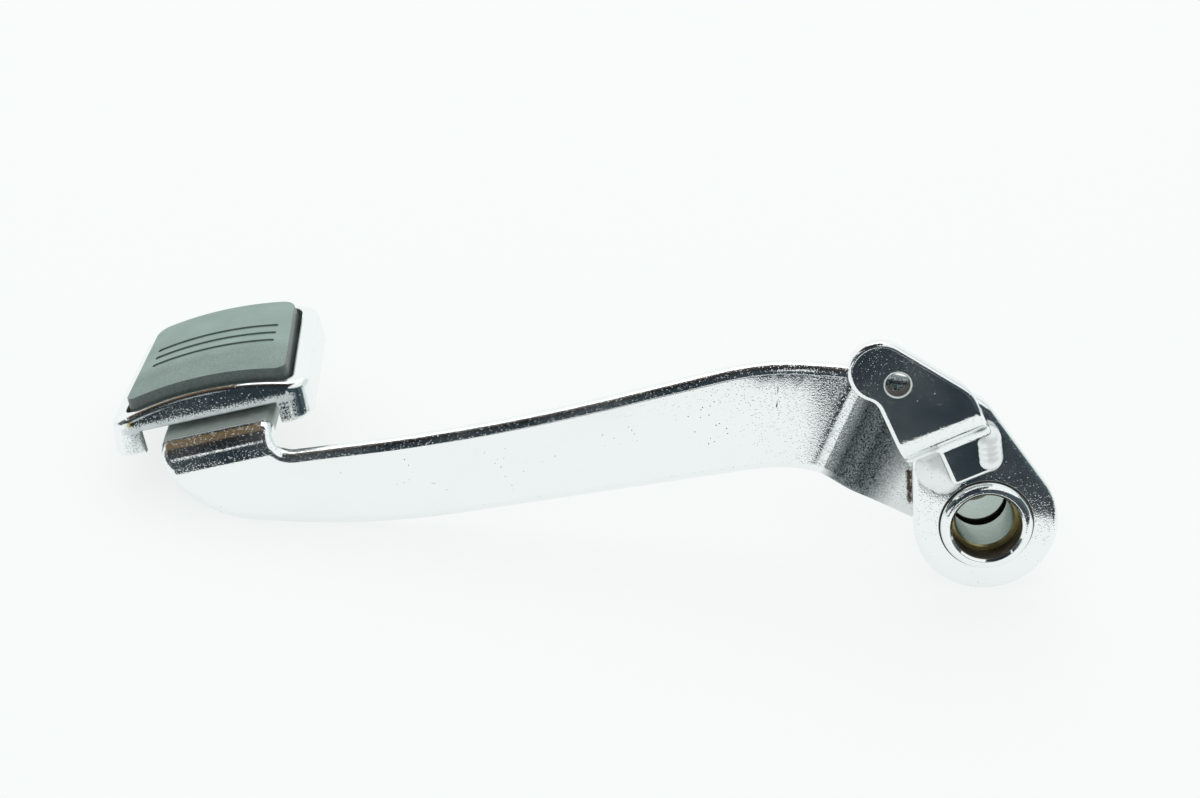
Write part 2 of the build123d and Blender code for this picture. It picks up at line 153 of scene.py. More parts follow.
print("a pit at most every", round(pit_spacing / mm, 1), "mm, in patches of", round(pit_patch / mm), "mm")

# %% [markdown]
# Chrome plate, part 2: film and grain
#
# A thin film in smears some 20 mm wide softens the shine, and where it is thick it lifts the darkest
# reflections. A grain breaks up the edge of every reflection: a low orange peel, and small cells, of
# which about half have a dent of their own depth. It is slight on flat faces and strong on rounded
# edges and bends, so its height follows how squarely a face looks along Y, through the bar's thickness.
# Near the pivot a flat face can have its own height.

# %% Film and grain
smear_width, peel_width, dent_width = 20 * mm, 0.5 * mm, 0.45 * mm
dull_starts, dull_full = 0.35, 0.75
film_starts, film_full = 0.40, 0.70
dent_floor, dent_rim, undented = 0.10, 0.45, 0.45
peel_height, deepest_dent, pit_height = 0.5, 1.2, -0.03
bent_below, flat_above = 0.99, 0.9998
pitted_roughness = 0.5
pivot_from, pivot_to = -75 * mm, -40 * mm


def film_over(tree, shader, place, pitted, metal, haze):
    smears = {"Vector": place, "Scale": 1 / smear_width, "Detail": 4.0}
    smears = add(tree, "ShaderNodeTexNoise", smears).outputs[0]
    clean_haze, filmed_haze = haze
    dull = {0: smears, 1: dull_starts, 2: dull_full, 3: clean_haze, 4: filmed_haze}
    dull = add(tree, "ShaderNodeMapRange", dull).outputs[0]
    rough = add(tree, "ShaderNodeMix", {0: pitted, 2: dull, 3: pitted_roughness}).outputs[0]
    tree.links.new(rough, shader.inputs["Roughness"])
    clean_metal, filmed_metal = metal
    shown = {0: smears, 1: film_starts, 2: film_full, 3: clean_metal, 4: filmed_metal}
    shown = add(tree, "ShaderNodeMapRange", shown).outputs[0]
    tree.links.new(shown, shader.inputs["Metallic"])


def grain_height(tree, place, flat_grain, pivot_grain, bent_grain):
    skin = {"Vector": place, "Scale": 1 / peel_width, "Detail": 2.0}
    skin = add(tree, "ShaderNodeTexNoise", skin).outputs[0]
    peel = add(tree, "ShaderNodeMath", {0: skin, 1: peel_height}, operation="MULTIPLY").outputs[0]
    dents = add(tree, "ShaderNodeTexVoronoi", {"Vector": place, "Scale": 1 / dent_width})
    depth = add(tree, "ShaderNodeSeparateXYZ", {0: dents.outputs["Color"]}).outputs["X"]
    depth = {0: depth, 1: undented, 2: 1.0, 3: 0.0, 4: deepest_dent}
    depth = add(tree, "ShaderNodeMapRange", depth).outputs[0]
    hollow = {0: dents.outputs["Distance"], 1: dent_floor, 2: dent_rim, 3: -1.0, 4: 0.0}
    hollow = add(tree, "ShaderNodeMapRange", hollow).outputs[0]
    dented = {0: hollow, 1: depth, 2: peel}
    dented = add(tree, "ShaderNodeMath", dented, operation="MULTIPLY_ADD").outputs[0]
    facing = add(tree, "ShaderNodeNewGeometry", {}).outputs["Normal"]
    square = add(tree, "ShaderNodeSeparateXYZ", {0: facing}).outputs["Y"]
    square = add(tree, "ShaderNodeMath", {0: square}, operation="ABSOLUTE").outputs[0]
    along = add(tree, "ShaderNodeSeparateXYZ", {0: place}).outputs["X"]
    ends = {0: along, 1: pivot_from, 2: pivot_to, 3: flat_grain, 4: pivot_grain}
    flat = add(tree, "ShaderNodeMapRange", ends).outputs[0]
    height = {0: square, 1: bent_below, 2: flat_above, 3: bent_grain, 4: flat}
    height = add(tree, "ShaderNodeMapRange", height).outputs[0]
    return add(tree, "ShaderNodeMath", {0: dented, 1: height}, operation="MULTIPLY").outputs[0]


print("grain: peel", round(peel_width / mm, 2), "mm, dents", round(dent_width / mm, 2), "mm")

# %% [markdown]
# Chrome plate, part 3: one chrome for each kind of steel
#
# The same plating looks different on a ground bar, a stamping, a drawn cup and a weld, so each gets its
# own grain, pits and film. The Bevel node rounds sharp edges for the light alone, so that a worn edge
# catches it. Grain is given as three heights in millimetres: on flat faces, on flat faces near the
# pivot, and on bends.

# %% Chrome on each piece
clean_plate = "#f4f7f7"
rust, scratch = "#c6b884", "#23282a"


def chrome(
    name, grain, pits, stains=(), metal=(1.0, 0.95), haze=(0.03, 0.10), worn_edge=0.3, pit="#7d7b75"
):
    material, tree, shader, place = new_material(name)
    pitted = pit_mask(tree, place, pits)
    tones = {0: pitted, 6: colour(clean_plate), 7: colour(pit)}
    body = add(tree, "ShaderNodeMix", tones, data_type="RGBA").outputs[2]
    tree.links.new(stain_over(tree, place, body, stains), shader.inputs["Base Color"])
    film_over(tree, shader, place, pitted, metal, haze)
    sunk = {0: pitted, 1: pit_height, 2: grain_height(tree, place, *grain)}
    relief = add(tree, "ShaderNodeMath", sunk, operation="MULTIPLY_ADD").outputs[0]
    rounded = add(tree, "ShaderNodeBevel", {"Radius": worn_edge * mm}, samples=6).outputs[0]
    surface = {"Height": relief, "Strength": 1.0, "Distance": 1 * mm, "Normal": rounded}
    bump = add(tree, "ShaderNodeBump", surface).outputs[0]
    tree.links.new(bump, shader.inputs["Normal"])
    return material


bar_stains = [((-34.6, -12.9, 10.5), (1.6, 4.0, 1.6), rust)]
bar_stains += [((-58.9, -4.0, z), (0.34, 4.0, 2.0), scratch) for z in (30.8, 26.3)]
cup_stains = [((-243.3, 6.8, 6.3), (2.0, 2.0, 2.0), rust), ((-197.5, 6.0, 11.0), (1.2, 1.2, 1.2), rust)]
bar_chrome = chrome("chrome on ground bar steel", (0.004, 0.018, 0.055), 0.04, bar_stains)
plate_chrome = chrome("chrome on plate steel", (0.010, 0.010, 0.04), 0.06)
bracket_wear = {"metal": (1.0, 0.96), "pit": "#c2cac9"}
bracket_chrome = chrome("chrome on stamped steel", (0.006, 0.006, 0.04), 0.05, **bracket_wear)
cup_wear = {"stains": cup_stains, "metal": (1.0, 1.0), "worn_edge": 0.9, "pit": "#d8dcda"}
cup_chrome = chrome("chrome on drawn steel cup", (0.006, 0.006, 0.010), 0.24, **cup_wear)
tube_chrome = chrome("chrome on steel tube", (0.012, 0.012, 0.02), 0.04)
weld_chrome = chrome("chrome over weld", (0.01, 0.01, 0.01), 0.02, metal=(0.3, 0.1), haze=(0.22, 0.34))
plated = {"pivot_plate": plate_chrome, "pushrod_bracket": bracket_chrome, "pad_cup": cup_chrome}
plated.update({"pivot_tube": tube_chrome, "tube_weld": weld_chrome})
for name, material in plated.items():
    nodes[name].material_slots[0].material = material
print("chrome on", sorted(plated))

# %% [markdown]
# Other finishes, part 1: swap the finish under a mask
#
# In some places the pedal isn't clean chrome: holes are bare, faces are dull, and some places carry
# painted shade or a painted highlight. Each such place is a mask, a number from 0 to 1 worked out from
# where a point lies or how its face looks.
# One function swaps the finish under a mask: colour, roughness and how metallic the surface is. The
# colour varies with a noise between a dark and a pale tone, and a narrow spread makes that noise
# harder, like speckles.

# %% Finish under a mask
hole_blur = 0.1


def refinish(material, mask, dark, pale, roughness, metallic, patch=3 * mm, spread=(0.0, 1.0)):
    tree = material.node_tree
    shader = tree.nodes["Principled BSDF"]
    place = add(tree, "ShaderNodeTexCoord", {}).outputs["Object"]
    film = add(tree, "ShaderNodeTexNoise", {"Vector": place, "Scale": 1 / patch, "Detail": 5.0}).outputs[0]
    film = add(tree, "ShaderNodeMapRange", {0: film, 1: spread[0], 2: spread[1]}).outputs[0]
    tones = {0: film, 6: colour(dark), 7: colour(pale)}
    tint = add(tree, "ShaderNodeMix", tones, data_type="RGBA").outputs[2]
    changed = ("Base Color", "Roughness", "Metallic")
    old = {name: shader.inputs[name].links[0].from_socket for name in changed}
    body = add(tree, "ShaderNodeMix", {0: mask, 6: old["Base Color"], 7: tint}, data_type="RGBA")
    tree.links.new(body.outputs[2], shader.inputs["Base Color"])
    for name, value in (("Roughness", roughness), ("Metallic", metallic)):
        level = add(tree, "ShaderNodeMix", {0: mask, 2: old[name], 3: value})
        tree.links.new(level.outputs[0], shader.inputs[name])


def from_axis(tree, x, z):
    place = add(tree, "ShaderNodeTexCoord", {}).outputs["Object"]
    off = add(tree, "ShaderNodeVectorMath", {0: place, 1: (x * mm, 0, z * mm)}, operation="SUBTRACT")
    flat = add(tree, "ShaderNodeVectorMath", {0: off.outputs[0], 1: (1, 0, 1)}, operation="MULTIPLY")
    return add(tree, "ShaderNodeVectorMath", {0: flat.outputs[0]}, operation="LENGTH").outputs["Value"]


def within(material, x, z, radius):
    tree = material.node_tree
    inner, outer = (radius - hole_blur) * mm, (radius + hole_blur) * mm
    limits = {0: from_axis(tree, x, z), 1: inner, 2: outer, 3: 1.0, 4: 0.0}
    return add(tree, "ShaderNodeMapRange", limits).outputs[0]


def overlap(tree, first, *others):
    shared = first
    for mask in others:
        shared = add(tree, "ShaderNodeMath", {0: shared, 1: mask}, operation="MULTIPLY").outputs[0]
    return shared


print("masks for round holes fade over", 2 * hole_blur, "mm")

# %% [markdown]
# Other finishes, part 2: holes and corners
#
# Plating hardly reaches into a hole, so the tube's bore and the pin hole are brown bare steel. The pin
# hole's chamfer gets a painted highlight, a pale ring, and a painted shade darkens the corner between
# tube and plate. All four are circles about an axis along Y.

# %% Holes and the foot of the tube
pin_x, pin_z, pin_wall, pin_rim = -29.383, 44.332, 3.32, 3.75
tube_wall, tube_foot = 9.7, 13.1
refinish(tube_chrome, within(tube_chrome, 0, 0, tube_wall), "#3a3026", "#77695a", 0.45, 0.8)
# Painted highlight: a pale ring at the pin hole's chamfer.
refinish(bracket_chrome, within(bracket_chrome, pin_x, pin_z, pin_rim), "#c9d0ce", "#f4f7f6", 0.4, 0.2)
refinish(bracket_chrome, within(bracket_chrome, pin_x, pin_z, pin_wall), "#221c16", "#453b30", 0.6, 0.2)
# Painted shade: a near-black ring where the tube meets the plate.
refinish(plate_chrome, within(plate_chrome, 0, 0, tube_foot), "#15130f", "#3b352b", 0.7, 0.0)
print("bare pin hole, radius", pin_wall, "mm, and bare bore, radius", tube_wall, "mm")

# %% [markdown]
# Other finishes, part 3: the bar's tab and ramp
#
# The tab is a dull pale grey from the end of its bend backwards. The ramp is the slope of the joggle,
# where the bar steps sideways near the pivot. It is speckled, as if no polishing wheel had reached it,
# and its dark grey is a painted reflection of the dark room that the slope faces. It is measured
# across the slanted line that the bar is bent along. Towards the pivot it fades to a quarter.

# %% Tab and ramp
tab_starts, tab_full = -1.2 * mm, 0.2 * mm
foot_full, foot_ends = -190 * mm, -188 * mm
joggle = radians(70.6)
far_side = Vector((-sin(joggle), 0, cos(joggle)))
ramp_starts, ramp_full, ramp_fades, ramp_thin = -45.5 * mm, -42 * mm, -33 * mm, -25 * mm
ramp_left_over, ramp_grit = 0.25, 0.4 * mm

tree = bar_chrome.node_tree
place = add(tree, "ShaderNodeTexCoord", {}).outputs["Object"]
place_xyz = add(tree, "ShaderNodeSeparateXYZ", {0: place}).outputs
off = add(tree, "ShaderNodeVectorMath", {0: place, 1: tab_front}, operation="SUBTRACT").outputs[0]
behind = add(tree, "ShaderNodeVectorMath", {0: off, 1: back}, operation="DOT_PRODUCT").outputs["Value"]
behind = add(tree, "ShaderNodeMapRange", {0: behind, 1: tab_starts, 2: tab_full}).outputs[0]
foot = {0: place_xyz["X"], 1: foot_full, 2: foot_ends, 3: 1.0, 4: 0.0}
foot = add(tree, "ShaderNodeMapRange", foot).outputs[0]
refinish(bar_chrome, overlap(tree, behind, foot), "#a3aea9", "#c6d1cc", 0.4, 0.4)

near = add(tree, "ShaderNodeVectorMath", {0: place, 1: -far_side}, operation="DOT_PRODUCT").outputs["Value"]
begun = add(tree, "ShaderNodeMapRange", {0: near, 1: ramp_starts, 2: ramp_full}).outputs[0]
ended = {0: near, 1: ramp_fades, 2: ramp_thin, 3: 1.0, 4: ramp_left_over}
ended = add(tree, "ShaderNodeMapRange", ended).outputs[0]
ramp = overlap(tree, begun, ended)
# Painted reflection: the ramp's dark speckled tone stands for the dark room mirrored in the slope.
refinish(bar_chrome, ramp, "#151c1e", "#939d9f", 0.28, 0.9, patch=ramp_grit, spread=(0.36, 0.66))
print("ramp from", round(-ramp_starts / mm, 1), "to", round(-ramp_thin / mm, 1), "mm from the pivot")

# %% [markdown]
# Other finishes, part 4: painted shade along the plate
#
# A painted shade lies on the bar's front face in a thin band beside the plate's left edge, where that
# edge shades the bar. The band is what lies near that straight edge, between two heights, and a noise
# breaks it up into bits.

# %% Painted shade beside the plate
edge_turn, edge_distance = radians(186.8), 20.3 * mm
band_full, band_ends = 0.1 * mm, 1.4 * mm
low_starts, low_full = 1 * mm, 4 * mm
high_full, high_ends = 12 * mm, 15 * mm
face_full, face_ends = -11 * mm, -10 * mm
shade_grain, shade_starts, shade_full = 0.6 * mm, 0.18, 0.40
edge_way = (cos(edge_turn), 0, sin(edge_turn))
aside = add(tree, "ShaderNodeVectorMath", {0: place, 1: edge_way}, operation="DOT_PRODUCT").outputs["Value"]
aside = add(tree, "ShaderNodeMath", {0: aside, 1: edge_distance}, operation="SUBTRACT").outputs[0]
aside = add(tree, "ShaderNodeMath", {0: aside}, operation="ABSOLUTE").outputs[0]
band = add(tree, "ShaderNodeMapRange", {0: aside, 1: band_full, 2: band_ends, 3: 1.0, 4: 0.0}).outputs[0]
low = add(tree, "ShaderNodeMapRange", {0: place_xyz["Z"], 1: low_starts, 2: low_full}).outputs[0]
high = {0: place_xyz["Z"], 1: high_full, 2: high_ends, 3: 1.0, 4: 0.0}
high = add(tree, "ShaderNodeMapRange", high).outputs[0]
front = {0: place_xyz["Y"], 1: face_full, 2: face_ends, 3: 1.0, 4: 0.0}
front = add(tree, "ShaderNodeMapRange", front).outputs[0]
shade_breakup = add(tree, "ShaderNodeTexNoise", {"Vector": place, "Scale": 1 / shade_grain, "Detail": 3.0}).outputs[0]
plate_edge_shade = overlap(tree, band, shade_breakup, low, high, front)
plate_edge_shade = add(tree, "ShaderNodeMapRange", {0: plate_edge_shade, 1: shade_starts, 2: shade_full}).outputs[0]
# Painted shade: a brown-black band where the plate's edge shades the bar.
refinish(bar_chrome, plate_edge_shade, "#2d241b", "#6a5a45", 0.8, 0.0)
print("painted shade up to", round(high_ends / mm), "mm above the pivot")

# %% [markdown]
# Other finishes, part 5: the cup
#
# The inside of the cup is dull grey. It is found by the way faces look: towards the cup's middle, or
# straight down from its floor. The lower half of the front wall gets fine white specks that thin out
# upwards and are fewer on the two legs beside the notch: scuffs, and a painted highlight along the
# wall's lower edge. An amount that depends on the height is added to a noise, and what passes a limit
# is a speck.

# %% Inside of the cup and white specks
cup_middle = tab_front + back * 30 * mm
inside_starts, inside_full = 1 * mm, 3 * mm
down_starts, down_full = 0.90, 0.98
specks_thin, specks_end, wall_specks = 3.0 * mm, 5.6 * mm, 0.55
legs_end, wall_starts, leg_specks = 2.0 * mm, 2.6 * mm, 0.26
grit_size, speck_starts, speck_full = 0.45 * mm, 0.70, 0.90
front_full, front_ends = -0.97, -0.88

tree = cup_chrome.node_tree
place = add(tree, "ShaderNodeTexCoord", {}).outputs["Object"]
facing = add(tree, "ShaderNodeNewGeometry", {}).outputs["Normal"]
off = add(tree, "ShaderNodeVectorMath", {0: cup_middle, 1: place}, operation="SUBTRACT").outputs[0]
inward = add(tree, "ShaderNodeVectorMath", {0: off, 1: facing}, operation="DOT_PRODUCT").outputs["Value"]
inward = add(tree, "ShaderNodeMapRange", {0: inward, 1: inside_starts, 2: inside_full}).outputs[0]
down = add(tree, "ShaderNodeVectorMath", {0: facing, 1: -out}, operation="DOT_PRODUCT").outputs["Value"]
down = add(tree, "ShaderNodeMapRange", {0: down, 1: down_starts, 2: down_full}).outputs[0]
hidden = add(tree, "ShaderNodeMath", {0: inward, 1: down}, operation="MAXIMUM").outputs[0]
refinish(cup_chrome, hidden, "#7d8681", "#a5aeaa", 0.55, 0.2)

off = add(tree, "ShaderNodeVectorMath", {0: place, 1: tab_front}, operation="SUBTRACT").outputs[0]
level = add(tree, "ShaderNodeVectorMath", {0: off, 1: out}, operation="DOT_PRODUCT").outputs["Value"]
above = {0: level, 1: specks_thin, 2: specks_end, 3: wall_specks, 4: 0.0}
above = add(tree, "ShaderNodeMapRange", above).outputs[0]
below = {0: level, 1: legs_end, 2: wall_starts, 3: leg_specks, 4: wall_specks}
below = add(tree, "ShaderNodeMapRange", below).outputs[0]
amount = add(tree, "ShaderNodeMath", {0: above, 1: below}, operation="MINIMUM").outputs[0]
grit = add(tree, "ShaderNodeTexNoise", {"Vector": place, "Scale": 1 / grit_size, "Detail": 2.0}).outputs[0]
scuffs_and_highlight = add(tree, "ShaderNodeMath", {0: grit, 1: amount}, operation="ADD").outputs[0]
scuffs_and_highlight = add(tree, "ShaderNodeMapRange", {0: scuffs_and_highlight, 1: speck_starts, 2: speck_full}).outputs[0]
facing_y = add(tree, "ShaderNodeSeparateXYZ", {0: facing}).outputs["Y"]
in_front = {0: facing_y, 1: front_full, 2: front_ends, 3: 1.0, 4: 0.0}
in_front = add(tree, "ShaderNodeMapRange", in_front).outputs[0]
# White specks low on the front wall: scuffs, and a painted highlight along its lower edge.
refinish(cup_chrome, overlap(tree, scuffs_and_highlight, in_front), "#b4c0c2", "#f0f5f5", 0.35, 0.3)
print("specks end", round(specks_end / mm, 1), "mm above the tab")

# %% [markdown]
# Bushes
#
# The bushes look like lined bronze: a satin grey lining covers the bore, and dull yellow bronze shows
# at the ends, so the distance from the pivot line is the mask. Both are streaked round the bore, as by
# a turning shaft, so the noise is stretched: fine along Y and long across it. Most of a noise lies
# between 0.3 and 0.7, so those are the ends of its range. The gap between the two bushes, and the
# ends that face it, are made nearly black.

# %% Bush material
lining_reach, bronze_from = 8.0 * mm, 8.1 * mm
streak_length, streak_width, streak_depth = 5 * mm, 0.25 * mm, 0.01 * mm
gap_dark_full, gap_dark_ends = 2.0 * mm, 2.4 * mm
noise_low, noise_high = 0.3, 0.7

lined_bronze, tree, shader, place = new_material("lined bronze bush")
edge = {0: from_axis(tree, 0, 0), 1: lining_reach, 2: bronze_from}
edge = add(tree, "ShaderNodeMapRange", edge).outputs[0]
stretch = (1 / streak_length, 1 / streak_width, 1 / streak_length)
turned = add(tree, "ShaderNodeMapping", {"Vector": place, "Scale": stretch}).outputs[0]
streaks = add(tree, "ShaderNodeTexNoise", {"Vector": turned, "Scale": 1.0, "Detail": 3.0}).outputs[0]
lining = {0: streaks, 6: colour("#98a8a2"), 7: colour("#c2d0ca")}
lining = add(tree, "ShaderNodeMix", lining, data_type="RGBA").outputs[2]
bronze = {0: streaks, 6: colour("#8f8450"), 7: colour("#cfc38c")}
bronze = add(tree, "ShaderNodeMix", bronze, data_type="RGBA").outputs[2]
body = add(tree, "ShaderNodeMix", {0: edge, 6: lining, 7: bronze}, data_type="RGBA").outputs[2]
tree.links.new(body, shader.inputs["Base Color"])
rough = {0: streaks, 1: noise_low, 2: noise_high, 3: 0.22, 4: 0.38}
rough = add(tree, "ShaderNodeMapRange", rough).outputs[0]
tree.links.new(rough, shader.inputs["Roughness"])
ridges = {"Height": streaks, "Strength": 0.4, "Distance": streak_depth}
bump = add(tree, "ShaderNodeBump", ridges).outputs[0]
tree.links.new(bump, shader.inputs["Normal"])
shine = {0: streaks, 1: noise_low, 2: noise_high, 3: 0.80, 4: 0.90}
shine = add(tree, "ShaderNodeMapRange", shine).outputs[0]
tree.links.new(shine, shader.inputs["Metallic"])

depth = add(tree, "ShaderNodeSeparateXYZ", {0: place}).outputs["Y"]
depth = add(tree, "ShaderNodeMath", {0: depth}, operation="ABSOLUTE").outputs[0]
gap_dark = {0: depth, 1: gap_dark_full, 2: gap_dark_ends, 3: 1.0, 4: 0.0}
gap_dark = add(tree, "ShaderNodeMapRange", gap_dark).outputs[0]
# The gap between the bushes and the ends that face it are made nearly black.
refinish(lined_bronze, gap_dark, "#0d0c0a", "#26221b", 0.7, 0.0)
for name in ("front_bush", "rear_bush"):
    nodes[name].material_slots[0].material = lined_bronze
print("bushes:", lined_bronze.name)

# %% [markdown]
# Studs, washers and nuts
#
# The fixings under the pad are small zinc-plated steel parts: a dull pale metal, cloudy from handling.
# One soft noise drives colour, roughness and a slight unevenness together, so a paler cloud is also a
# rougher one.

# %% Zinc on the fixings
cloud_size, cloud_depth = 2 * mm, 0.02 * mm
zinc, tree, shader, place = new_material("zinc on small steel")
shader.inputs["Metallic"].default_value = 1.0
cloud = {"Vector": place, "Scale": 1 / cloud_size, "Detail": 4.0}
cloud = add(tree, "ShaderNodeTexNoise", cloud).outputs[0]
body = {0: cloud, 6: colour("#8d8f8c"), 7: colour("#c9cbc6")}
body = add(tree, "ShaderNodeMix", body, data_type="RGBA").outputs[2]
tree.links.new(body, shader.inputs["Base Color"])
rough = {0: cloud, 1: noise_low, 2: noise_high, 3: 0.28, 4: 0.5}
rough = add(tree, "ShaderNodeMapRange", rough).outputs[0]
tree.links.new(rough, shader.inputs["Roughness"])
bump = add(tree, "ShaderNodeBump", {"Height": cloud, "Strength": 0.3, "Distance": cloud_depth}).outputs[0]
tree.links.new(bump, shader.inputs["Normal"])
for name in ("pad_studs", "pad_washers", "pad_nuts"):
    nodes[name].material_slots[0].material = zinc
print("fixings:", zinc.name)

# %% [markdown]
# Weld beads
#
# Molten metal has no creases. In the CAD model the two beads on the bracket are drops and domes that
# meet sharply. A copy of each is merged, rebuilt from small cubes and smoothed, which melts the drops
# into one another. Many rounds make the left bead one smooth lump, and few rounds leave soft ripples on
# the right one. Each stands in for its CAD solid and stays within its box.

# %% Melted weld beads
merge_gap, bead_cube, melt_share = 0.002 * mm, 0.2 * mm, 0.5
left_rounds, right_rounds = 60, 6


def merged_copy(node_name, piece_name, material):
    piece = bpy.data.objects.new(piece_name, nodes[node_name].data.copy())
    bpy.context.scene.collection.objects.link(piece)
    bpy.ops.object.select_all(action="DESELECT")
    piece.select_set(True)
    bpy.context.view_layer.objects.active = piece
    bpy.ops.object.mode_set(mode="EDIT")
    bpy.ops.mesh.select_all(action="SELECT")
    bpy.ops.mesh.remove_doubles(threshold=merge_gap)
    bpy.ops.object.mode_set(mode="OBJECT")
    piece.data.materials.clear()
    piece.data.materials.append(material)
    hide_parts(node_name)
    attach(piece, "root")
    return piece


def melted(node_name, piece_name, rounds):
    piece = merged_copy(node_name, piece_name, weld_chrome)
    rebuild = piece.modifiers.new("rebuild", "REMESH")
    rebuild.mode = "VOXEL"
    rebuild.voxel_size = bead_cube
    bpy.ops.object.modifier_apply(modifier=rebuild.name)
    melt = piece.modifiers.new("melt", "SMOOTH")
    melt.factor = melt_share
    melt.iterations = rounds
    bpy.ops.object.modifier_apply(modifier=melt.name)
    bpy.ops.object.shade_smooth()
    print(piece_name, len(piece.data.polygons), "faces")


melted("left_weld", "left_bead", left_rounds)
melted("right_weld", "right_bead", right_rounds)

# %% [markdown]
# A soft run into the joggle, part 1: how much each place is lifted
#
# On the real bar the face starts to swing a little before the joggle, sooner at the top edge than at
# the bottom one, and in chrome that shows as a broad soft shade. The lift is three parabolas in a
# chain: along the run its slope grows evenly, through the bend the slope turns over, and behind the
# bend it fades out, so no crease is left. All lengths here are in millimetres, measured across and
# along the joggle's slanted line.

# %% Lift along the joggle
bend_start, bend_end, lift_end = 49.43, 45.3, 36.9
short_run, long_run = 3.5, 15.5
joggle_bottom, joggle_height = -15, 38
steepest = 0.165
up_line = Vector((cos(joggle), 0, sin(joggle)))


def lift(past, run):
    bend, fade = bend_start - bend_end, bend_end - lift_end
    easing = steepest * (run + bend) / (bend + fade)
    if past < 0:
        return steepest * max(past + run, 0) ** 2 / (2 * run)
    if past < bend:
        return steepest * (run / 2 + past) - (steepest + easing) * past**2 / (2 * bend)
    return easing * max(bend + fade - past, 0) ** 2 / (2 * fade)


def lift_at(point):
    past = bend_start - point.dot(far_side) / mm
    share = min(max((point.dot(up_line) / mm - joggle_bottom) / joggle_height, 0), 1)
    return lift(past, short_run + (long_run - short_run) * share)


print("lift where the bend starts:", [round(lift(0, run), 2) for run in (short_run, long_run)], "mm")

# %% [markdown]
# A soft run into the joggle, part 2: lift the bar
#
# A copy of the bar is cut into rows across the joggle, so that there are points to move. A vertex group
# holds each point's share of the lift, and Displace moves them along Y, both faces alike, so the bar
# keeps its thickness. Weighted normals then keep the large faces flat.

# %% Bar with a soft joggle
row_step, row_count = 0.75, 44
crease_angle = radians(30)
arm = merged_copy("pedal_arm", "plated_bar", bar_chrome)
bpy.ops.object.mode_set(mode="EDIT")
for row in range(row_count):
    bpy.ops.mesh.select_all(action="SELECT")
    bpy.ops.mesh.bisect(plane_co=far_side * (lift_end + row * row_step) * mm, plane_no=far_side)
bpy.ops.object.mode_set(mode="OBJECT")
lifts = [lift_at(vertex.co) for vertex in arm.data.vertices]
highest = max(lifts)
group = arm.vertex_groups.new(name="lift")
for index, height in enumerate(lifts):
    group.add([index], height / highest, "REPLACE")
raise_rows = arm.modifiers.new("raise", "DISPLACE")
raise_rows.direction = "Y"
raise_rows.vertex_group = group.name
raise_rows.mid_level = 0.0
raise_rows.strength = -highest * mm
bpy.ops.object.modifier_apply(modifier=raise_rows.name)
bpy.ops.mesh.customdata_custom_splitnormals_clear()
bpy.ops.object.shade_smooth_by_angle(angle=crease_angle)
flatten = arm.modifiers.new("flatten", "WEIGHTED_NORMAL")
flatten.keep_sharp = True
bpy.ops.object.modifier_apply(modifier=flatten.name)
print("soft joggle:", len(arm.data.polygons), "faces, lifted by up to", round(highest, 2), "mm")

# %% [markdown]
# The rubber pad, part 1: the blank
#
# The pad is one block of rubber, pressed in a mould: narrower at the back, leaning in a little all
# round, crowned across its width and rounded at its edges. It is built flat at the origin, with the
# front edge towards -Y, because every number is simple there, and is laid in its cup at the end. A box
# gives the block. Scaling one face of it makes the taper and another the lean, and a bevel rounds the
# upright corners.

# %% Pad blank
front_half, back_half = 24.7 * mm, 22.2 * mm
pad_front, pad_back = 7.5 * mm, 53.1 * mm
seat, blank_top = 3.65 * mm, 15.0 * mm
lean = tan(radians(5)) * (blank_top - seat)
corner_radius, corner_steps = 3.6 * mm, 8
tall = 5 * mm


def pick(kind, test):
    mesh = bpy.context.object.data
    shape = bmesh.from_edit_mesh(mesh)
    bpy.ops.mesh.select_mode(type=kind)
    bpy.ops.mesh.select_all(action="DESELECT")
    for item in {"VERT": shape.verts, "EDGE": shape.edges, "FACE": shape.faces}[kind]:
        item.select_set(test(item))
    shape.select_flush_mode()
    bmesh.update_edit_mesh(mesh)


def is_upright(edge):
    return abs(edge.verts[0].co.z - edge.verts[1].co.z) > tall


bpy.ops.object.select_all(action="DESELECT")
pad_middle, mid_height = (pad_front + pad_back) / 2, (seat + blank_top) / 2
size = (2 * front_half, pad_back - pad_front, blank_top - seat)
bpy.ops.mesh.primitive_cube_add(size=1, location=(0, pad_middle, mid_height), scale=size)
pad = bpy.context.object
pad.name = "rubber_pad"
bpy.ops.object.transform_apply(location=True, rotation=True, scale=True)
bpy.ops.object.mode_set(mode="EDIT")
pick("FACE", lambda face: face.normal.y > 0.9)
bpy.ops.transform.resize(value=(back_half / front_half, 1, 1))
pick("FACE", lambda face: face.normal.z > 0.9)
bpy.ops.transform.resize(value=(1 - lean / front_half, 1 - 2 * lean / (pad_back - pad_front), 1))
pick("EDGE", is_upright)
bpy.ops.mesh.bevel(offset=corner_radius, segments=corner_steps, affect="EDGES")
bpy.ops.object.mode_set(mode="OBJECT")
print("pad blank:", len(pad.data.vertices), "vertices,", [round(d / mm, 1) for d in pad.dimensions], "mm")

# %% [markdown]
# The rubber pad, part 2: the crown
#
# The crown is part of a large cylinder, so what a big cylinder and the blank share is the crowned pad.
# A bevel then rounds the edges of its top and bottom, as a mould does.

# %% Pad crown
crown_radius, crown_top = 103.1 * mm, 13.0 * mm
cylinder_length, cylinder_sides = 90 * mm, 512
edge_radius, edge_steps, edge_angle = 1.3 * mm, 5, radians(40)


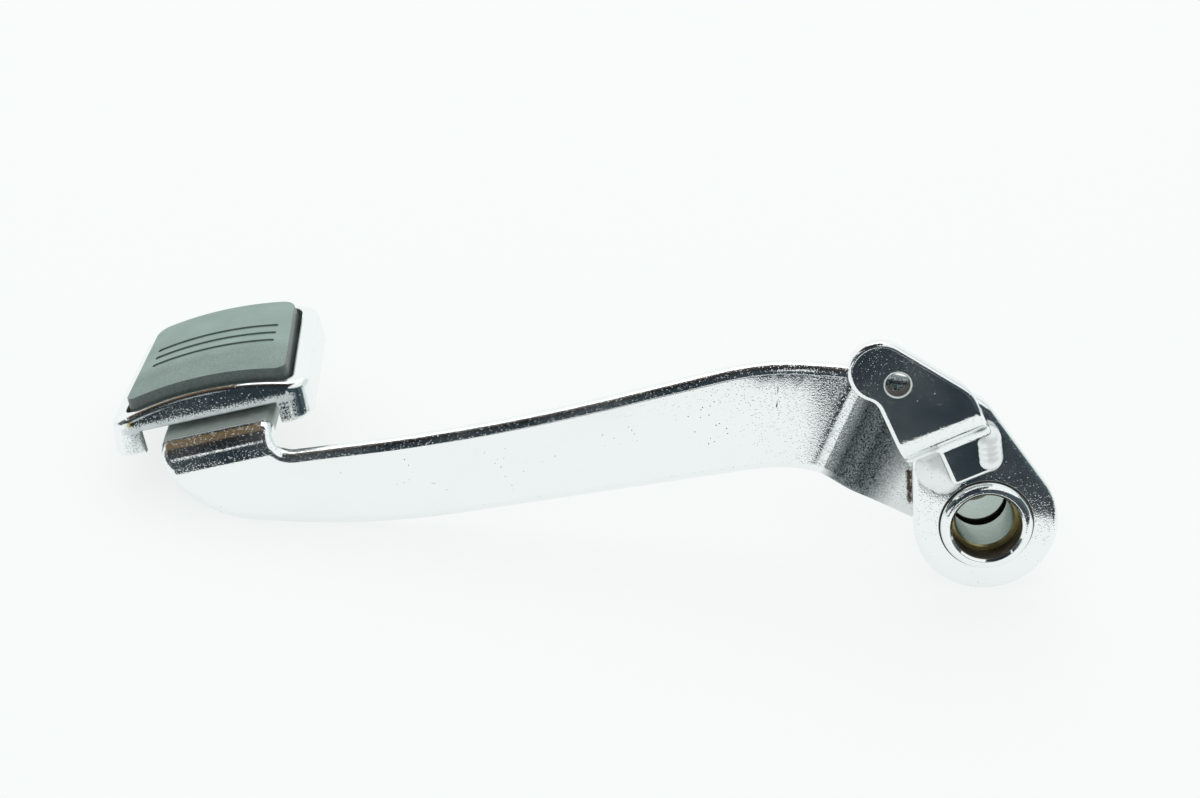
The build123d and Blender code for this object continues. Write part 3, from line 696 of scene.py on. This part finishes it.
def cylinder(radius):
    shape = {"vertices": cylinder_sides, "radius": radius, "depth": cylinder_length}
    where = (0, pad_middle, crown_top - crown_radius)
    bpy.ops.mesh.primitive_cylinder_add(**shape, location=where, rotation=(radians(90), 0, 0))
    made = bpy.context.object
    bpy.ops.object.transform_apply(location=True, rotation=True, scale=True)
    return made


def combine(target, tool, how):
    bpy.ops.object.select_all(action="DESELECT")
    bpy.context.view_layer.objects.active = target
    change = target.modifiers.new("combine", "BOOLEAN")
    change.operation = how
    change.object = tool
    change.solver = "EXACT"
    bpy.ops.object.modifier_apply(modifier=change.name)
    bpy.data.objects.remove(tool)


combine(pad, cylinder(crown_radius), "INTERSECT")
soften = pad.modifiers.new("soften", "BEVEL")
soften.width = edge_radius
soften.segments = edge_steps
soften.limit_method = "ANGLE"
soften.angle_limit = edge_angle
bpy.ops.object.modifier_apply(modifier=soften.name)
print("crowned pad: top at", round(max(v.co.z for v in pad.data.vertices) / mm, 2), "mm")

# %% [markdown]
# The rubber pad, part 3: the grooves
#
# Three thin grooves with round ends cross the top near its middle. Their floor follows the crown, so
# each cutter is a bar with rounded ends and a slightly smaller cylinder taken out of its underside. The
# grooves are cut after the edges were rounded, so their own edges stay crisp.

# %% Pad grooves
groove_length, groove_width, groove_depth = 37.5 * mm, 1.9 * mm, 0.55 * mm
groove_middle, groove_step = 31.2 * mm, 4.9 * mm
cutter_height, cutter_middle = 8 * mm, 12 * mm
round_share, round_steps = 0.45, 5
for place_in_row in (-1, 0, 1):
    where = (0, groove_middle + place_in_row * groove_step, cutter_middle)
    cutter_size = (groove_length, groove_width, cutter_height)
    bpy.ops.mesh.primitive_cube_add(size=1, location=where, scale=cutter_size)
    cutter = bpy.context.object
    bpy.ops.object.transform_apply(location=True, rotation=True, scale=True)
    bpy.ops.object.mode_set(mode="EDIT")
    pick("EDGE", is_upright)
    bpy.ops.mesh.bevel(offset=round_share * groove_width, segments=round_steps, affect="EDGES")
    bpy.ops.object.mode_set(mode="OBJECT")
    combine(cutter, cylinder(crown_radius - groove_depth), "DIFFERENCE")
    combine(pad, cutter, "DIFFERENCE")
print("grooved pad:", len(pad.data.polygons), "faces")

# %% [markdown]
# The rubber pad, part 4: lay it in the cup
#
# The three foot axes are the columns of a turn, and the tab's front point is the move. Both are applied
# to the mesh, so the finished pad sits in its cup with its origin at the frame's origin.

# %% Pad in its place
pad.matrix_world = Matrix((across, back, out)).transposed().to_4x4()
pad.location = tab_front
bpy.ops.object.select_all(action="DESELECT")
pad.select_set(True)
bpy.context.view_layer.objects.active = pad
bpy.ops.object.transform_apply(location=True, rotation=True, scale=True)
bpy.ops.object.shade_smooth_by_angle(angle=radians(35))
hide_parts("pad_rubber")
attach(pad, "root")
columns = list(zip(*(v.co for v in pad.data.vertices)))
for label, box in (("CAD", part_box("pad_rubber")), ("this", (map(min, columns), map(max, columns)))):
    print(label, "pad, in mm:", [[round(v / mm, 1) for v in corner] for corner in box])

# %% [markdown]
# Pad rubber
#
# Moulded rubber is dark grey on its sides, with a soft shine. Its top is worn flat and grainy towards
# the front, and is painted a paler grey as a painted sheen from the light above. The mask for the wear
# and the painted sheen is how far a surface faces out of the cup.

# %% Worn rubber with painted sheen
wear_and_sheen_patch, speck_size, speck_depth = 9 * mm, 0.5 * mm, 0.12 * mm
grainy_until, smooth_from, grain_left_over = 20 * mm, 30 * mm, 0.25
top_starts, top_full = 0.70, 0.95
grain_low, grain_high, palest, darkest = 0.25, 0.65, 1.03, 0.70
side_roughness, top_roughness = 0.30, 0.62
rubber, tree, shader, place = new_material("black rubber, worn, with painted sheen")
facing = add(tree, "ShaderNodeNewGeometry", {}).outputs["Normal"]
upward = add(tree, "ShaderNodeVectorMath", {0: facing, 1: out}, operation="DOT_PRODUCT").outputs["Value"]
top = add(tree, "ShaderNodeMapRange", {0: upward, 1: top_starts, 2: top_full}).outputs[0]
patches = {"Vector": place, "Scale": 1 / wear_and_sheen_patch, "Detail": 4.0}
patches = add(tree, "ShaderNodeTexNoise", patches).outputs[0]
# Painted sheen: top faces are painted paler than the sides for the light they catch; the patches are wear.
wear_and_sheen = {0: patches, 6: colour("#82958f"), 7: colour("#a0b3ad")}
wear_and_sheen = add(tree, "ShaderNodeMix", wear_and_sheen, data_type="RGBA").outputs[2]
body = {0: top, 6: colour("#596562"), 7: wear_and_sheen}
body = add(tree, "ShaderNodeMix", body, data_type="RGBA").outputs[2]
moved = add(tree, "ShaderNodeVectorMath", {0: place, 1: tab_front}, operation="SUBTRACT").outputs[0]
depth_in = add(tree, "ShaderNodeVectorMath", {0: moved, 1: back}, operation="DOT_PRODUCT").outputs["Value"]
landing = {0: depth_in, 1: grainy_until, 2: smooth_from, 3: 1.0, 4: grain_left_over}
landing = add(tree, "ShaderNodeMapRange", landing).outputs[0]
specks = {"Vector": place, "Scale": 1 / speck_size, "Detail": 2.0}
specks = add(tree, "ShaderNodeTexNoise", specks).outputs[0]
grainy = add(tree, "ShaderNodeMath", {0: specks, 1: landing}, operation="MULTIPLY").outputs[0]
shade = {0: grainy, 1: grain_low, 2: grain_high, 3: palest, 4: darkest}
shade = add(tree, "ShaderNodeMapRange", shade).outputs[0]
tint = add(tree, "ShaderNodeVectorMath", {0: body, "Scale": shade}, operation="SCALE").outputs[0]
tree.links.new(tint, shader.inputs["Base Color"])
rough = {0: top, 1: 0.0, 2: 1.0, 3: side_roughness, 4: top_roughness}
rough = add(tree, "ShaderNodeMapRange", rough).outputs[0]
tree.links.new(rough, shader.inputs["Roughness"])
bump = add(tree, "ShaderNodeBump", {"Height": grainy, "Strength": 0.6, "Distance": speck_depth}).outputs[0]
tree.links.new(bump, shader.inputs["Normal"])
pad.data.materials.clear()
pad.data.materials.append(rubber)
print("pad material:", pad.material_slots[0].material.name)

# %% [markdown]
# Floor
#
# The pedal rests on a white sheet and leans a little: the tube, the plate and the arm's heel all come
# within about a millimetre of it. The CAD frame is square to the pivot, so here it is the sheet that is
# tipped. The sheet is lit from beneath as on a light table: to the camera and in mirrors four fifths of
# its white is its own, and the last fifth carries the pedal's soft shadow. One function tells those
# rays from the rest.

# %% White sheet
slope = radians(11.5)
lit_share = 0.8
sheet_size = 3.0
rest = Vector((-100, -13.4, -20.6)) * mm


def sheet_z(y):
    return rest.z + tan(slope) * (y - rest.y)


def seen_directly(tree):
    path = add(tree, "ShaderNodeLightPath", {}).outputs
    seen = {0: path["Is Camera Ray"], 1: path["Is Glossy Ray"]}
    seen = add(tree, "ShaderNodeMath", seen, operation="MAXIMUM").outputs[0]
    seen = {0: seen, 1: path["Is Transmission Ray"]}
    return add(tree, "ShaderNodeMath", seen, operation="MAXIMUM").outputs[0]


bpy.ops.object.select_all(action="DESELECT")
bpy.ops.mesh.primitive_plane_add(size=sheet_size, location=rest, rotation=(slope, 0, 0))
sheet = bpy.context.object
sheet.name = "white_sheet"
bpy.ops.object.transform_apply(location=True, rotation=True, scale=True)
paper, tree, shader, place = new_material("matt white paper")
shader.inputs["Base Color"].default_value = colour("#f7faf9")
shader.inputs["Roughness"].default_value = 1.0
shader.inputs["Specular IOR Level"].default_value = 0.0
share = add(tree, "ShaderNodeMath", {0: seen_directly(tree), 1: lit_share}, operation="MULTIPLY").outputs[0]
glow = add(tree, "ShaderNodeEmission", {"Color": colour("#f9fcfb"), "Strength": 1.0}).outputs[0]
mixed = add(tree, "ShaderNodeMixShader", {0: share, 1: shader.outputs[0], 2: glow}).outputs[0]
tree.links.new(mixed, tree.nodes["Material Output"].inputs["Surface"])
sheet.data.materials.append(paper)
lowest = min(v.co.z - sheet_z(v.co.y) for node in nodes.values() for v in node.data.vertices)
print("lowest point of the pedal above the sheet:", round(lowest / mm, 2), "mm")

# %% [markdown]
# Cards for the chrome to see, part 1: how a card is made
#
# Lit only by white, chrome looks like white plastic. In a studio dark cards stand out of view, and the
# metal mirrors them: that is what draws the dark bracket and the shaded bends. These cards are seen by
# mirror rays alone, so they don't shade the sheet. Walls stand in a ring round the pedal, and ceilings
# hang above it. A wall is given by two turns in degrees, from the front towards the right, and by two
# heights. All lengths of the cards are in millimetres.

# %% Card helpers
ring_x, ring_y, ring_reach = -100, -50, 1000
ceiling_z = 1200


def card(name, corners, hex_value):
    mesh = bpy.data.meshes.new(name)
    mesh.from_pydata([Vector(c) * mm for c in corners], [], [range(len(corners))])
    made = bpy.data.objects.new(name, mesh)
    bpy.context.scene.collection.objects.link(made)
    glow = bpy.data.materials.new(name)
    glow.use_nodes = True
    tree = glow.node_tree
    tree.nodes.clear()
    light = add(tree, "ShaderNodeEmission", {"Color": colour(hex_value), "Strength": 1.0})
    add(tree, "ShaderNodeOutputMaterial", {"Surface": light.outputs[0]})
    mesh.materials.append(glow)
    made.visible_camera = False
    made.visible_diffuse = False
    made.visible_shadow = False
    made.visible_transmission = False


def wall(name, turns, heights, hex_value, reach=ring_reach):
    ends = [(ring_x + reach * sin(radians(t)), ring_y - reach * cos(radians(t))) for t in turns]
    low, high = heights
    (x0, y0), (x1, y1) = ends
    card(name, [(x0, y0, low), (x1, y1, low), (x1, y1, high), (x0, y0, high)], hex_value)


def ceiling(name, xs, ys, hex_value):
    (x0, x1), (y0, y1) = xs, ys
    card(name, [(x, y, ceiling_z) for x, y in ((x0, y0), (x1, y0), (x1, y1), (x0, y1))], hex_value)


print("cards stand", ring_reach, "mm away and hang", ceiling_z, "mm up")

# %% [markdown]
# Cards for the chrome to see, part 2: place them
#
# The apron lies just above the sheet, in front of the pedal. The bracket and the plate mirror it and
# turn dark, and so does the bar where it swings into the joggle. The walls and the front ceiling draw
# the dark bands on the bar's top edge and on the tab's bend. A slit is left between the tops of the
# walls and the front ceiling, and the white room seen through it is the bright line along that bend.

# %% Studio cards
apron_gap, wall_foot = 0.4, -420
lamp_foot, lamp_reach = -330, 980
dark_ceiling, lamp_white = "#26282b", "#f4f8f8"
near_edge = [(50, -116), (5, -150), (-22, -310), (-61, -340), (-150, -280), (-280, -330), (-350, -380)]
left_end = [(-450, -480), (-1000, -480), (-1000, -1400), (-330, -1400)]
far_edge = [(-330, -760), (200, -760), (1400, -1400), (1400, -116)]
apron = [(x, y, sheet_z(y * mm) / mm + apron_gap) for x, y in near_edge + left_end + far_edge]
card("apron", apron, "#2c363c")
wall("wall_middle", (-35, 2), (wall_foot, 860), "#2b363c")
wall("wall_left", (-70, -35), (wall_foot, 525), "#333d40")
wall("wall_far_left", (-100, -70), (wall_foot, 540), "#5b6565")
wall("wall_right", (2, 58), (wall_foot, 430), "#34424a")
wall("wall_far_right", (58, 90), (wall_foot, 430), "#4a565c")
wall("side_right", (90, 150), (wall_foot, 900), "#dbe5e5")
wall("lamp_left", (-68, -27), (lamp_foot, 40), lamp_white, lamp_reach)
wall("lamp_right", (-14, 20), (lamp_foot, -130), lamp_white, lamp_reach)
ceiling("ceiling_front", (-1800, 110), (-1480, -150), dark_ceiling)
ceiling("ceiling_line", (-750, 110), (-150, -70), "#9a9182")
ceiling("ceiling_middle", (-750, 110), (-70, 220), dark_ceiling)
ceiling("ceiling_brown", (-1800, -750), (-150, 800), "#6b5a43")

# %% [markdown]
# Light and world
#
# A white room gives soft even light and a white background. Camera rays and mirror rays see it at full
# strength, and the light that it sheds is a little less. One large soft lamp above and behind adds some
# direction, so the shadow under the pad falls forward.

# %% World and lamp
shed_light = 0.88
lamp_size, lamp_power = 1.2, 4.0
lamp_target = Vector((-0.1, 0, 0))
world = bpy.data.worlds.new("white room")
bpy.context.scene.world = world
world.use_nodes = True
tree = world.node_tree
tree.nodes.clear()
strength = {0: seen_directly(tree), 1: 0.0, 2: 1.0, 3: shed_light, 4: 1.0}
strength = add(tree, "ShaderNodeMapRange", strength).outputs[0]
room = add(tree, "ShaderNodeBackground", {"Color": colour("#fbfefd"), "Strength": strength})
add(tree, "ShaderNodeOutputWorld", {"Surface": room.outputs[0]})

bpy.ops.object.light_add(type="AREA", location=(-0.25, 0.55, 1.5))
lamp = bpy.context.object
lamp.name = "soft_lamp"
lamp.data.size = lamp_size
lamp.data.energy = lamp_power
lamp.rotation_euler = (lamp_target - lamp.location).to_track_quat("-Z", "Y").to_euler()
print("lamp", [round(v, 2) for v in lamp.location], "energy", lamp.data.energy)

# %% [markdown]
# Camera
#
# The view is a little from above and nearly square to the pivot line. Pitch, heading and roll are three
# plain angles, and the lens is a short telephoto, which keeps the tube's circles close to true.

# %% Camera
pitch, heading, roll = radians(21.0), radians(-1.08), radians(-2.4)
eye = Vector((-97.39, -576.99, 245.50)) * mm
ahead = Vector((sin(heading) * cos(pitch), cos(heading) * cos(pitch), -sin(pitch)))
level_right = Vector((cos(heading), -sin(heading), 0))
level_up = level_right.cross(ahead)
right = cos(roll) * level_right - sin(roll) * level_up
up = sin(roll) * level_right + cos(roll) * level_up
bpy.ops.object.camera_add()
camera = bpy.context.object
camera.matrix_world = Matrix((right, up, -ahead)).transposed().to_4x4()
camera.location = eye
camera.data.lens = 66.0
camera.data.sensor_width = 36.0
scene = bpy.context.scene
scene.camera = camera
scene.view_settings.view_transform = "Standard"
print("camera at", [round(v, 4) for v in camera.location])
